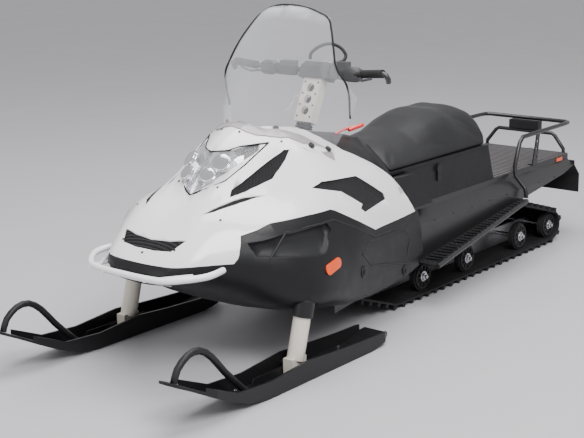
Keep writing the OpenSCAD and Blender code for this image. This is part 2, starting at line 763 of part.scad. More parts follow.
module suspension_arms() color([0.12, 0.12, 0.125]) {
    end = tunnel_side_half - tunnel_wall - seat_gap;
    for (top = [front_arm, rear_arm]) cross_bar(top, 14, -end, end);
    both_sides() {
        rod([front_arm[0], 105, front_arm[1]], [-100, 105, 84], 12);
        cross_bar([-100, 84], 12, 93, rail_y - 7 - seat_gap);
        rod([rear_arm[0], 105, rear_arm[1]], [-900, 105, 84], 12);
        cross_bar([-900, 84], 12, 93, rail_y - 7 - seat_gap);
    }
}

// A shock absorber with its spring between two cross bars
module shock(a, b, ra, rb) {
    v = unit(b - a);
    p = a + v * (ra + seat_gap);
    q = b - v * (rb + seat_gap);
    rod(p, q, 12);
    rod(p + 0.2 * (q - p), p + 0.85 * (q - p), 27);
}

module skid_shocks() color([0.5, 0.1, 0.08]) {
    shock([WHEEL_X[0], 0, wheel_z], [front_arm[0], 0, front_arm[1]], axle_r, 14);
    shock([WHEEL_X[2], 0, wheel_z], [rear_arm[0], 0, rear_arm[1]], axle_r, 14);
}

// ---- Seat and box ----

box_rear_x = -827;
BOX_SIDE = [
    [-63, box_top_z], [-211, tunnel_top_z], [box_rear_x, tunnel_top_z], [seat_rear_x, box_top_z]];

module storage_box() color([0.1, 0.1, 0.105]) {
    t = tunnel_top_half;
    w = box_wall;
    inside = [[BOX_SIDE[0][0] - w - 1, box_top_z + 1], BOX_SIDE[1] + [-w, w], BOX_SIDE[2] + [w, w],
        [BOX_SIDE[3][0] + w + 1, box_top_z + 1]];
    difference() {
        side_prism(BOX_SIDE, -t, t);
        side_prism(inside, -t + w, t - w);
    }
}

module seat_latch() color([0.05, 0.05, 0.055]) {
    out = tunnel_top_half + seat_gap;
    block([-345, out, box_top_z - 85], [-321, out + 8, box_top_z - 8]);
    block([-355, out, box_top_z - 40], [-311, out + 12, box_top_z - 14]);
}

module hinge_pair() {
    for (x = [-180, -640]) translate([x, hinge_y, hinge_z])
        rotate([0, 90, 0])
            children();
}

module seat_hinge() color([0.3, 0.3, 0.31]) {
    for (x = [-180, -640]) {
        rod([x - 34, hinge_y, hinge_z], [x + 34, hinge_y, hinge_z], hinge_pin_r);
        for (dx = [-34, 28]) block(
            [x + dx, hinge_y - hinge_pin_r - 2, box_top_z - 45],
            [x + dx + 6, -tunnel_top_half - seat_gap, hinge_z + hinge_pin_r + 2]);
    }
}

module seat_base() color([0.06, 0.06, 0.065]) {
    knuckle_r = hinge_pin_r + 3.5;
    difference() {
        union() {
            block([seat_rear_x, -tunnel_top_half + 1, seat_z], [seat_front_x, tunnel_top_half - 1, seat_z + board_t]);
            for (x = [-180, -640]) {
                rod([x - 26, hinge_y, hinge_z], [x + 26, hinge_y, hinge_z], knuckle_r);
                block([x - 26, hinge_y, hinge_z - 3], [x + 26, -tunnel_top_half + 5, hinge_z + 3]);
            }
        }
        for (x = [-180, -640]) rod([x - 60, hinge_y, hinge_z], [x + 60, hinge_y, hinge_z], hinge_pin_r + run_gap);
    }
}

// Crown of the seat: [x, height above the board, hollowness of the shoulders]
SEAT = [
    [seat_rear_x, 168, 0], [-740, 186, 0], [-680, 188, 0], [-601, 180, 0], [-516, 187, 0],
    [-395, 165, 0.2], [-330, 144, 0.4], [-264, 124, 0.7], [-120, 106, 1], [-3, 99, 1], [seat_front_x, 84, 1]];

module seat_cushion() color([0.12, 0.12, 0.125]) {
    w = tunnel_top_half;
    loft([for (s = SEAT) let (h = s[1], soft = s[2],
        half = [[0, h], [60, h - 1], [112 - 10 * soft, h - 6 - 4 * soft], [165 - 8 * soft, h - 22 - 8 * soft],
            [205 - 10 * soft, h * (0.66 - 0.05 * soft)], [w - 8, h * 0.3], [w - 2, seat_gap], [0, seat_gap]])
        [for (p = concat(half, reversed([for (q = mid_list(half)) [-q[0], q[1]]])))
            [s[0], p[0], cushion_z - seat_gap + p[1]]]]);
}

// ---- Rack, lamp, flap and hitch ----

leg_x = tunnel_rear_x + 595;

module cargo_rack() color([0.05, 0.05, 0.055]) {
    foot_y = tunnel_side_half + 30;
    foot_z = edge_z - tunnel_slope * leg_x + 7;
    half = [[leg_x, foot_y, foot_z], [leg_x, foot_y, foot_z + 20], [leg_x, foot_y - 8, flare_z + 6],
        [leg_x, 277, shoulder_z + 12], [leg_x, 270, shoulder_z + 60], [leg_x - 30, 268, rail_z - 60],
        [leg_x - 52, 266, rail_z - 22], [leg_x - 84, 264, rail_z], [rack_rear_x + 60, 254, rail_z],
        [rack_rear_x + 18, 248, rail_z], [rack_rear_x, 226, rail_z]];
    tube(concat(half, reversed(mirrored(half))), rack_r);
}

module rear_hoop() color([0.05, 0.05, 0.055]) {
    top = rail_z - 66;
    half = [[hoop_x, 230, deck_z + seat_gap], [hoop_x, 230, deck_z + 20], [hoop_x, 178, top - 12],
        [hoop_x, 160, top]];
    tube(concat(half, reversed(mirrored(half))), rack_r - 1);
}

module rack_brackets() color([0.14, 0.14, 0.15]) {
    x = leg_x - 196;
    top = rail_z - rack_r - 0.6;
    both_sides() {
        difference() {
            side_prism([[x, deck_z + seat_gap], [x - 44, deck_z + seat_gap], [x - 66, top], [x - 36, top]],
                256, 262);
            for (k = [0:2]) cross_bar([x - 29 - 9 * k, deck_z + 38 + 40 * k], 9, 200, 300);
        }
        block([x - 44, tunnel_top_half - 16, deck_z + seat_gap], [x, 262, deck_z + 5]);
    }
}

module tail_light() color([0.04, 0.04, 0.045])
    block([hoop_x - 21, -88, rail_z - 66 + rack_r - 1 + seat_gap], [hoop_x + 18, 88, rail_z - rack_r - 0.6]);

module tail_lens() color([0.7, 0.02, 0.02])
    block([hoop_x - 26, -80, rail_z - 49], [hoop_x - 21 - seat_gap, 80, rail_z - 16]);

module snow_flap() color([0.05, 0.05, 0.05]) {
    top = tunnel_top_z - tunnel_wall - seat_gap;
    half_w = min(285, tunnel_side_half - 20);
    both_sides() side_prism(
        [[tunnel_rear_x + 34, top], [tunnel_rear_x + 34, top - 5], [tunnel_rear_x + 4, top - 12],
            [tunnel_rear_x - 6, top - 30], [tunnel_rear_x - 11, top - 29], [tunnel_rear_x, top]],
        62, tunnel_top_half - tunnel_wall - 8);
    side_prism(
        [[tunnel_rear_x - 6, top - 30], [tunnel_rear_x - 8, 365], [rear_x + 5, 308], [rear_x + 5, 212],
            [rear_x, 212], [rear_x, 311], [tunnel_rear_x - 13, 368], [tunnel_rear_x - 11, top - 28]],
        -half_w, half_w);
}

module tow_hitch() color([0.45, 0.45, 0.47]) {
    top = tunnel_top_z - tunnel_wall - seat_gap;
    bore_x = rear_x + 26;
    difference() {
        union() {
            block([tunnel_rear_x - 20, -36, top - hitch_t], [tunnel_rear_x + 80, 36, top]);
            block([bore_x, -22, top - hitch_t], [tunnel_rear_x - 19, 22, top]);
            translate([bore_x, 0, top - hitch_t]) cylinder(r = 22, h = hitch_t);
        }
        translate([bore_x, 0, top - 2 * hitch_t]) cylinder(r = hitch_r, h = 3 * hitch_t);
    }
}

// ---- Nodes ----

tunnel();
cargo_deck();
running_boards();
front_frame();
engine_block();
track_belt();
slide_rails();
bogie_wheels();
skid_axles();
drive_axle();
suspension_arms();
skid_shocks();
belly_pan();
hood();
side_panels();
hood_vents();
nose_grille();
headlight_lens();
headlight_reflector();
front_bumper();
windshield();
windshield_flange();
console();
post_bellows();
strut_housings();
storage_box();
seat_latch();
seat_hinge();
cargo_rack();
rear_hoop();
rack_brackets();
tail_light();
tail_lens();
snow_flap();
tow_hitch();
reflectors();
seat_cushion();
seat_base();
steering_post();
handlebar();
grips();
post_cover();
control_blocks();
handlebar_hose();
strut_left();
ski_left();
ski_loop_left();
strut_right();
ski_right();
ski_loop_right();
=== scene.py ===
"""Looks for a wide-track utility snowmobile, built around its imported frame. Metres, +X forward, +Z up."""
import math

import bpy
from mathutils import Matrix, Vector
from mathutils.bvhtree import BVHTree


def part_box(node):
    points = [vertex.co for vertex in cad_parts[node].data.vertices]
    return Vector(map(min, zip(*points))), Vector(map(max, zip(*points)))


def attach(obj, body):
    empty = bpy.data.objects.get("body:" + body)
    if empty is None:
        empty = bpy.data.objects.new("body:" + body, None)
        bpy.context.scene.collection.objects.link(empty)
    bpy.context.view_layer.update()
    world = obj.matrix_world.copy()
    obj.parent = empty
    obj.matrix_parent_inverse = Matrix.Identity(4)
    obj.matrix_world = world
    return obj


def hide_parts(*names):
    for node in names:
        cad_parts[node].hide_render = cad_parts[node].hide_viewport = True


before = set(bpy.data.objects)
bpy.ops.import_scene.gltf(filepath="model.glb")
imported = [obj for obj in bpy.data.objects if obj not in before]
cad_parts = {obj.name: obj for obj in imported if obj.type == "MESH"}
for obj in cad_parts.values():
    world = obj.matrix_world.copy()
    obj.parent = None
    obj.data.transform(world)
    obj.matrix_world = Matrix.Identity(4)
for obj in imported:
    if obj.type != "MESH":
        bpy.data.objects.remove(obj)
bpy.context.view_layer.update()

bl_info = {
    "name": "Utility snowmobile",
    "version": (1, 0, 0),
    "blender": (4, 5, 0),
    "location": "View3D > Sidebar > Snowmobile",
    "description": "Dresses the snowmobile's frame with its finished pieces and materials",
    "category": "Object",
}


# ---- Shader maths ----

def put(tree, socket, value):
    """Links a value to a socket, or sets it there."""
    if isinstance(value, Value):
        value = value.socket
    if isinstance(value, bpy.types.NodeSocket):
        tree.links.new(value, socket)
    else:
        socket.default_value = value


class Value:
    """A number socket that can be used in expressions."""

    def __init__(self, finish, socket):
        self.finish = finish
        self.socket = socket

    def math(self, operation, first, second=0.0):
        return self.finish.node("ShaderNodeMath", {"operation": operation}, {0: first, 1: second})

    def __add__(self, other):
        return self.math("ADD", self, other)

    def __radd__(self, other):
        return self.math("ADD", other, self)

    def __sub__(self, other):
        return self.math("SUBTRACT", self, other)

    def __rsub__(self, other):
        return self.math("SUBTRACT", other, self)

    def __mul__(self, other):
        return self.math("MULTIPLY", self, other)

    def __gt__(self, other):
        return self.math("GREATER_THAN", self, other)

    def wave(self):
        return self.math("SINE", self)

    def size(self):
        return self.math("ABSOLUTE", self)

    def highest(self, other):
        return self.math("MAXIMUM", self, other)


class Finish:
    """A material whose surface is one Principled shader."""

    def __init__(self, name, colour, roughness=0.5, metallic=0.0, **constants):
        self.material = bpy.data.materials.new(name)
        self.material.use_nodes = True
        self.tree = self.material.node_tree
        self.shader = self.tree.nodes["Principled BSDF"]
        self.colour = (*colour[:3], 1.0)
        self.set("Base Color", self.colour)
        self.set("Roughness", roughness)
        self.set("Metallic", metallic)
        for socket, value in constants.items():
            self.set(socket.replace("_", " "), value)
        self.material.diffuse_color = self.colour

    def set(self, socket, value):
        put(self.tree, self.shader.inputs[socket], value)

    def node(self, kind, settings=None, inputs=None, output=0):
        """Adds any node: its settings first, then the values or links of its sockets."""
        node = self.tree.nodes.new(kind)
        for name, value in (settings or {}).items():
            setattr(node, name, value)
        for socket, value in (inputs or {}).items():
            put(self.tree, node.inputs[socket], value)
        return Value(self, node.outputs[output])

    def place(self):
        return self.node("ShaderNodeTexCoord", output="Object")

    def axes(self):
        """The three object coordinates, as numbers in metres."""
        split = self.node("ShaderNodeSeparateXYZ", None, {0: self.place()})
        return [Value(self, socket) for socket in split.socket.node.outputs]

    def noise(self, scale, detail=3.0, roughness=0.5):
        inputs = {"Vector": self.place(), "Scale": scale, "Detail": detail, "Roughness": roughness}
        return self.node("ShaderNodeTexNoise", None, inputs)

    def mix(self, factor, first, second):
        """Mixes two colours."""
        settings = {"data_type": "RGBA"}
        return self.node("ShaderNodeMix", settings, {0: factor, 6: first, 7: second}, output=2)

    def vary(self, amount, scale, darker=0.75):
        """Lets the base colour drift a little over the surface."""
        low = tuple(c * darker for c in self.colour[:3]) + (1.0,)
        mask = self.noise(scale, 4.0) * amount
        self.set("Base Color", self.mix(mask, self.colour, low))
        return self

    def worn(self, base, swing, scale):
        """Lets the roughness swing about its base."""
        self.set("Roughness", self.noise(scale, 5.0) * swing + (base - swing / 2))
        return self

    def bump(self, height, depth, strength=1.0):
        self.set("Normal", self.node(
            "ShaderNodeBump", None, {"Height": height, "Distance": depth, "Strength": strength}))
        return self


# ---- Finishes ----

def gloss_paint(name, colour, roughness=0.22):
    """Moulded-in gloss with a clear coat and a faint orange peel."""
    paint = Finish(name, colour, roughness, Coat_Weight=0.6, Coat_Roughness=0.06)
    paint.vary(0.12, 3.0, 0.93).worn(roughness, 0.08, 18.0)
    return paint.bump(paint.noise(260.0, 2.0), 0.0002, 0.15)


def grained_plastic(name, colour, roughness=0.48, grain=900.0):
    """Injection-moulded plastic with a fine leather grain."""
    plastic = Finish(name, colour, roughness, Specular_IOR_Level=0.28)
    plastic.vary(0.5, 5.0, 0.7).worn(roughness, 0.16, 22.0)
    return plastic.bump(plastic.noise(grain, 3.0, 0.6), 0.0006, 0.35)


def powder_coat(name, colour, roughness=0.38):
    """Powder-coated steel, slightly rippled."""
    coat = Finish(name, colour, roughness, Coat_Weight=0.25, Coat_Roughness=0.2)
    coat.vary(0.4, 9.0, 0.7).worn(roughness, 0.12, 40.0)
    return coat.bump(coat.noise(700.0, 2.0), 0.0003, 0.3)


def soft_rubber(name, colour, roughness=0.72):
    """Matte rubber with dusty patches."""
    rubber = Finish(name, colour, roughness, Specular_IOR_Level=0.25)
    dusty = tuple(c + 0.02 for c in colour[:3]) + (1.0,)
    dust = rubber.noise(14.0, 6.0, 0.65)
    rubber.set("Base Color", rubber.mix((dust - 0.5).highest(0.0) * 2.0, rubber.colour, dusty))
    rubber.worn(roughness, 0.2, 30.0)
    return rubber.bump(rubber.noise(420.0, 4.0), 0.0008, 0.4)


def turned_metal(name, colour, roughness=0.3):
    """Bare metal with fine scratches and handling marks."""
    metal = Finish(name, colour, roughness, 1.0)
    metal.vary(0.5, 16.0, 0.7).worn(roughness, 0.22, 60.0)
    return metal.bump(metal.noise(1400.0, 2.0), 0.0002, 0.3)


def woven_mesh(name, colour, pitch=0.0075):
    """Black diamond mesh: round-edged openings in rows, the openings painted near black as the shade behind
    the mesh.
    """
    mesh = Finish(name, colour, 0.5, Specular_IOR_Level=0.2)
    x, y, z = mesh.axes()
    turn = 2 * math.pi / pitch
    across = ((x * 0.8 + z * 0.6) * turn).wave()
    along = ((y + x * 0.3 - z * 0.3) * turn).wave()
    wire = (across * along).size()
    open_mask = wire > 0.35
    # The wires take a tone 2.2 times the given colour. The openings are painted shade: coloured near black
    # for the dark space behind the mesh.
    shade = tuple(c * 2.2 for c in colour[:3]) + (1.0,)
    mesh.set("Base Color", mesh.mix(open_mask, shade, (0.002, 0.002, 0.002, 1.0)))
    mesh.set("Roughness", 0.35 + open_mask * 0.5)
    return mesh.bump(1.0 - wire, 0.002, 0.9)


def clear_sheet(name, colour, alpha, roughness=0.04):
    """Clear polycarbonate: nearly invisible face on, brighter at grazing angles, where the sheet is made
    more opaque so that its pale colour shows as a painted sheen.
    """
    sheet = Finish(name, colour, roughness, Specular_IOR_Level=0.6)
    edge = sheet.node("ShaderNodeLayerWeight", None, {"Blend": 0.35}, output="Facing")
    haze = sheet.noise(4.0, 4.0) * 0.04
    # Painted sheen: opacity rises towards grazing angles, so the pale sheet colour and its reflection show
    # more there.
    sheet.set("Alpha", edge * edge * 0.45 + haze + alpha)
    return sheet


def seat_vinyl(name, colour):
    """Grained seat vinyl with a soft sheen."""
    vinyl = Finish(name, colour, 0.5, Specular_IOR_Level=0.3, Sheen_Weight=0.03, Sheen_Roughness=0.5)
    vinyl.vary(0.6, 4.0, 0.6).worn(0.5, 0.16, 12.0)
    cells = vinyl.node("ShaderNodeTexVoronoi", {"feature": "DISTANCE_TO_EDGE"},
                       {"Vector": vinyl.place(), "Scale": 420.0})
    creases = vinyl.noise(24.0, 5.0, 0.6)
    return vinyl.bump(cells * 0.6 + creases * 0.8, 0.0012, 0.5)


FINISHES = {}


def make_finishes(colours):
    """Makes every material once, by name."""
    white = tuple(colours.bodywork)
    black = tuple(colours.plastic)
    FINISHES.update({
        "hood_white": gloss_paint("hood_white", white),
        "bumper_white": gloss_paint("bumper_white", (0.9, 0.9, 0.92), 0.28),
        "pan_black": grained_plastic("pan_black", black, 0.42),
        "panel_black": grained_plastic("panel_black", (0.016, 0.016, 0.018), 0.45),
        "frame_black": powder_coat("frame_black", (0.009, 0.009, 0.01)),
        "deck_grey": grained_plastic("deck_grey", (0.085, 0.08, 0.082), 0.6, 500.0),
        "engine_grey": turned_metal("engine_grey", (0.35, 0.35, 0.37), 0.5),
        "track_rubber": soft_rubber("track_rubber", (0.014, 0.014, 0.015)),
        "rail_silver": turned_metal("rail_silver", (0.55, 0.55, 0.57), 0.38),
        "wheel_black": soft_rubber("wheel_black", (0.02, 0.02, 0.021), 0.6),
        "axle_steel": turned_metal("axle_steel", (0.6, 0.6, 0.62), 0.28),
        "shock_red": gloss_paint("shock_red", (0.3, 0.03, 0.025), 0.3),
        "mesh_black": woven_mesh("mesh_black", (0.012, 0.012, 0.013)),
        "lens_clear": clear_sheet("lens_clear", (0.95, 0.96, 0.98), 0.07),
        "reflector_silver": turned_metal("reflector_silver", (0.82, 0.82, 0.85), 0.12),
        "screen_clear": clear_sheet("screen_clear", (0.78, 0.79, 0.83), 0.06),
        "flange_grey": gloss_paint("flange_grey", (0.36, 0.33, 0.335), 0.3),
        "lamp_black": grained_plastic("lamp_black", (0.015, 0.015, 0.016), 0.4),
        "lens_red": gloss_paint("lens_red", (0.35, 0.008, 0.01), 0.15),
        "flap_rubber": soft_rubber("flap_rubber", (0.018, 0.018, 0.019)),
        "hitch_steel": turned_metal("hitch_steel", (0.4, 0.4, 0.42), 0.45),
        "reflector_amber": gloss_paint("reflector_amber", (0.85, 0.08, 0.0), 0.18),
        "seat_vinyl": seat_vinyl("seat_vinyl", tuple(colours.seat)),
        "post_cream": gloss_paint("post_cream", tuple(colours.struts), 0.35),
        "bar_black": powder_coat("bar_black", (0.02, 0.02, 0.02), 0.3),
        "grip_rubber": soft_rubber("grip_rubber", (0.018, 0.018, 0.018)),
        "cover_grey": grained_plastic("cover_grey", (0.07, 0.07, 0.075), 0.45),
        "hose_black": soft_rubber("hose_black", (0.015, 0.015, 0.015), 0.5),
        "strut_cream": gloss_paint("strut_cream", tuple(colours.struts), 0.3),
        "ski_black": grained_plastic("ski_black", (0.012, 0.012, 0.013), 0.34, 600.0),
        "loop_black": soft_rubber("loop_black", (0.014, 0.014, 0.015), 0.45),
        "lever_red": gloss_paint("lever_red", (0.75, 0.02, 0.02), 0.25),
        "screw_black": powder_coat("screw_black", (0.02, 0.02, 0.022), 0.35),
        "line_black": soft_rubber("line_black", (0.008, 0.008, 0.008), 0.6),
    })


# ---- Modelling helpers ----

def deselect():
    bpy.ops.object.select_all(action="DESELECT")


def only(obj):
    """Makes one object the selected and active one."""
    deselect()
    obj.select_set(True)
    bpy.context.view_layer.objects.active = obj
    return obj


def named(obj, name):
    obj.name = name
    obj.data.name = name
    return obj


def settle(obj):
    """Moves an object's place into its mesh."""
    only(obj)
    bpy.ops.object.transform_apply(location=True, rotation=True, scale=True)
    return obj


def apply_modifiers(obj):
    only(obj)
    for modifier in list(obj.modifiers):
        bpy.ops.object.modifier_apply(modifier=modifier.name)
    return obj


def bevelled(obj, width, segments=2):
    modifier = obj.modifiers.new("edge", "BEVEL")
    modifier.width = width
    modifier.segments = segments
    modifier.limit_method = "ANGLE"
    modifier.harden_normals = False
    return apply_modifiers(obj)


def smooth(obj, degrees=35):
    only(obj)
    bpy.ops.object.shade_smooth_by_angle(angle=math.radians(degrees))
    return obj


def box(low, high, bevel):
    """A bevelled block between two corners."""
    deselect()
    middle = [(a + b) / 2 for a, b in zip(low, high)]
    bpy.ops.mesh.primitive_cube_add(size=1, location=middle)
    obj = bpy.context.active_object
    obj.scale = [b - a for a, b in zip(low, high)]
    return bevelled(settle(obj), bevel)


def bar(start, end, radius, sides=20, bevel=0.0):
    """A round bar from one point to another."""
    deselect()
    start, end = Vector(start), Vector(end)
    bpy.ops.mesh.primitive_cylinder_add(
        vertices=sides, radius=radius, depth=(end - start).length, location=(start + end) / 2,
        rotation=(end - start).to_track_quat("Z", "Y").to_euler())
    obj = settle(bpy.context.active_object)
    return bevelled(obj, bevel) if bevel else obj


def pipe(points, radius):
    """A round pipe along a smooth curve through points."""
    deselect()
    curve = bpy.data.curves.new("pipe", "CURVE")
    curve.dimensions = "3D"
    curve.bevel_depth = radius
    curve.bevel_resolution = 3
    curve.resolution_u = 6
    curve.use_fill_caps = True
    spline = curve.splines.new("BEZIER")
    spline.bezier_points.add(len(points) - 1)
    for knot, point in zip(spline.bezier_points, points):
        knot.co = point
        knot.handle_left_type = knot.handle_right_type = "AUTO"
    obj = bpy.data.objects.new("pipe", curve)
    bpy.context.collection.objects.link(obj)
    only(obj)
    bpy.ops.object.convert(target="MESH")
    return bpy.context.active_object


def joined(parts, name):
    """Joins objects into one piece."""
    deselect()
    for part in parts:
        part.select_set(True)
    bpy.context.view_layer.objects.active = parts[0]
    if len(parts) > 1:
        bpy.ops.object.join()
    return named(bpy.context.active_object, name)


def dressed(obj, finish, body="root", replaces=(), degrees=35):
    """Gives a finished piece its material and its body."""
    smooth(obj, degrees)
    obj.data.materials.clear()
    obj.data.materials.append(FINISHES[finish].material)
    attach(obj, body)
    if replaces:
        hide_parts(*replaces)
    return obj


def copy_of(node, name):
    """A welded copy of a frame node's mesh."""
    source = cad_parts[node]
    obj = source.copy()
    obj.data = source.data.copy()
    obj.parent = None
    bpy.context.collection.objects.link(obj)
    named(obj, name)
    obj.matrix_world = source.matrix_world.copy()
    settle(obj)
    bpy.ops.object.mode_set(mode="EDIT")
    bpy.ops.mesh.select_all(action="SELECT")
    bpy.ops.mesh.remove_doubles(threshold=0.00005)
    bpy.ops.mesh.tris_convert_to_quads(face_threshold=0.6, shape_threshold=0.9)
    bpy.ops.object.mode_set(mode="OBJECT")
    return obj


TREES = {}


def tree_of(node):
    """A frame node's faces, ready for nearest-point and ray questions."""
    if node not in TREES:
        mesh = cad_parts[node].data
        TREES[node] = BVHTree.FromPolygons(
            [v.co for v in mesh.vertices], [tuple(p.vertices) for p in mesh.polygons])
    return TREES[node]


def touch(node, point, lift=0.0):
    """The nearest point of a frame node, lifted off its face, and the face's outward direction."""
    place, normal, _, _ = tree_of(node).find_nearest(Vector(point))
    out = Vector(point) - place
    if out.length > 0.0005 and out.dot(normal) < 0:
        normal = -normal
    return place + normal * lift, normal


def drop(node, x, y):
    """The height of a node's top face at x, y."""
    place = tree_of(node).ray_cast(Vector((x, y, 2.0)), Vector((0, 0, -1)))[0]
    return None if place is None else place.z


def knob(place, normal, radius, height, bevel=0.0015, sides=24):
    """A round head standing on a face, with a small hexagon on top."""
    base = place - normal * 0.001
    head = bar(base, base + normal * height, radius, sides, bevel)
    hexagon = bar(base + normal * (height - 0.0002), base + normal * (height + 0.0006), radius * 0.4, 6)
    return joined([head, hexagon], "knob")


def ring(place, normal, radius, thickness):
    """A round ring lying on a face."""
    deselect()
    bpy.ops.mesh.primitive_torus_add(
        location=place, rotation=normal.to_track_quat("Z", "Y").to_euler(),
        major_radius=radius, minor_radius=thickness, major_segments=48, minor_segments=10)
    return settle(bpy.context.active_object)


def mirrored_parts(parts):
    """The parts and their copies on the other side."""
    twins = []
    for part in parts:
        twin = part.copy()
        twin.data = part.data.copy()
        bpy.context.collection.objects.link(twin)
        twin.scale = (1, -1, 1)
        settle(twin)
        bpy.ops.object.mode_set(mode="EDIT")
        bpy.ops.mesh.select_all(action="SELECT")
        bpy.ops.mesh.normals_make_consistent(inside=False)
        bpy.ops.object.mode_set(mode="OBJECT")
        twins.append(twin)
    return parts + twins


# ---- Properties ----

class SnowmobileColours(bpy.types.PropertyGroup):
    """Colours that a user would change."""

    bodywork: bpy.props.FloatVectorProperty(
        name="Bodywork", description="Hood colour", subtype="COLOR", default=(0.90, 0.865, 0.875))
    plastic: bpy.props.FloatVectorProperty(
        name="Plastic", description="Belly pan and console colour", subtype="COLOR",
        default=(0.009, 0.009, 0.01))
    seat: bpy.props.FloatVectorProperty(
        name="Seat", description="Seat cover colour", subtype="COLOR", default=(0.013, 0.013, 0.015))
    struts: bpy.props.FloatVectorProperty(
        name="Struts", description="Strut and steering post colour", subtype="COLOR",
        default=(0.68, 0.63, 0.55))


class SnowmobileSizes(bpy.types.PropertyGroup):
    """Sizes of the added pieces."""

    trim_radius: bpy.props.FloatProperty(
        name="Screen trim", description="Radius of the windshield's edge trim", default=0.0042,
        unit="LENGTH")
    deck_rib: bpy.props.FloatProperty(
        name="Deck rib", description="Distance between two deck ribs", default=0.03, unit="LENGTH")


# ---- Operators ----

# The most that a point of the seat cover may swell, and the height of the edge that is held
SWELL_LIMIT = 0.012
HEM_HEIGHT = 0.012

# Frame nodes that keep their own mesh, and nodes whose welded copy is shown smooth
PLAIN_NODES = {
    "tunnel": "frame_black", "cargo_deck": "deck_grey", "running_boards": "frame_black",
    "front_frame": "frame_black", "engine_block": "engine_grey", "slide_rails": "rail_silver",
    "bogie_wheels": "wheel_black", "skid_axles": "axle_steel", "drive_axle": "frame_black",
    "suspension_arms": "frame_black", "skid_shocks": "shock_red", "storage_box": "pan_black",
    "seat_latch": "lamp_black", "seat_hinge": "frame_black", "rack_brackets": "frame_black",
    "tail_light": "lamp_black", "tail_lens": "lens_red", "snow_flap": "flap_rubber",
    "tow_hitch": "hitch_steel", "seat_base": "pan_black", "steering_post": "post_cream",
    "track_belt": "track_rubber", "post_bellows": "line_black", "strut_housings": "lamp_black",
    "strut_left": "strut_cream", "strut_right": "strut_cream", "ski_left": "ski_black",
    "ski_right": "ski_black", "grips": "grip_rubber", "headlight_reflector": "reflector_silver",
}
SMOOTH_NODES = {
    "belly_pan": ("pan_black", "root"), "hood": ("hood_white", "root"),
    "side_panels": ("panel_black", "root"), "hood_vents": ("mesh_black", "root"),
    "nose_grille": ("mesh_black", "root"), "headlight_lens": ("lens_clear", "root"),
    "front_bumper": ("bumper_white", "root"), "windshield": ("screen_clear", "root"),
    "windshield_flange": ("flange_grey", "root"), "console": ("pan_black", "root"),
    "cargo_rack": ("frame_black", "root"), "rear_hoop": ("frame_black", "root"),
    "reflectors": ("reflector_amber", "root"), "handlebar": ("bar_black", "steering"),
    "post_cover": ("cover_grey", "steering"), "control_blocks": ("cover_grey", "steering"),
    "handlebar_hose": ("hose_black", "steering"),
    "ski_loop_left": ("loop_black", "ski_left_body"), "ski_loop_right": ("loop_black", "ski_right_body"),
}


class SNOWMOBILE_OT_finishes(bpy.types.Operator):
    """Make the materials and put them on the frame's own nodes"""

    bl_idname = "snowmobile.finishes"
    bl_label = "Finishes"

    def execute(self, context):
        make_finishes(context.scene.snowmobile_colours)
        for node, finish in PLAIN_NODES.items():
            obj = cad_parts[node]
            for slot in obj.material_slots:
                slot.material = FINISHES[finish].material
        return {"FINISHED"}


class SNOWMOBILE_OT_shells(bpy.types.Operator):
    """Show the curved panels and tubes as smooth pieces"""

    bl_idname = "snowmobile.shells"
    bl_label = "Panels and tubes"

    def execute(self, context):
        for node, (finish, body) in SMOOTH_NODES.items():
            piece = copy_of(node, node + "_skin")
            dressed(piece, finish, body, (node,), 40)
        return {"FINISHED"}


class SNOWMOBILE_OT_seat(bpy.types.Operator):
    """Inflate the seat cover over its foam"""

    bl_idname = "snowmobile.seat"
    bl_label = "Seat"

    def execute(self, context):
        seat = copy_of("seat_cushion", "seat_cover")
        low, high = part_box("seat_cushion")
        middle = (Vector(low) + Vector(high)) / 2
        only(seat)
        bpy.ops.transform.resize(value=(0.975, 0.955, 0.96), center_override=(middle.x, 0, low[2]))
        settle(seat)
        self.inflate(context, seat, low[2])
        bpy.ops.object.modifier_add(type="SUBSURF")
        seat.modifiers[-1].levels = seat.modifiers[-1].render_levels = 1
        apply_modifiers(seat)
        dressed(seat, "seat_vinyl", "seat_lid", ("seat_cushion",), 60)
        return {"FINISHED"}

    def inflate(self, context, seat, floor):
        """Blows the cover up a little, holding its lower edge, and smooths the folds."""
        seat.data.remesh_voxel_size = 0.0075
        bpy.ops.object.voxel_remesh()
        start = [v.co.copy() for v in seat.data.vertices]
        hem = seat.vertex_groups.new(name="hem")
        hem.add([i for i, co in enumerate(start) if co.z < floor + HEM_HEIGHT], 1.0, "REPLACE")
        bpy.ops.object.modifier_add(type="CLOTH")
        cloth = seat.modifiers[-1]
        cloth.settings.vertex_group_mass = "hem"
        cloth.settings.use_pressure = True
        cloth.settings.uniform_pressure_force = 4.0
        cloth.settings.effector_weights.gravity = 0.0
        cloth.settings.tension_stiffness = cloth.settings.compression_stiffness = 12.0
        for step in range(1, 21):
            context.scene.frame_set(step)
        bpy.ops.object.modifier_apply(modifier=cloth.name)
        for vertex, place in zip(seat.data.vertices, start):
            move = vertex.co - place
            if move.length > SWELL_LIMIT:
                vertex.co = place + move.normalized() * SWELL_LIMIT
        context.scene.frame_set(1)
        bpy.ops.object.modifier_add(type="SMOOTH")
        seat.modifiers[-1].factor = 0.6
        seat.modifiers[-1].iterations = 14
        apply_modifiers(seat)


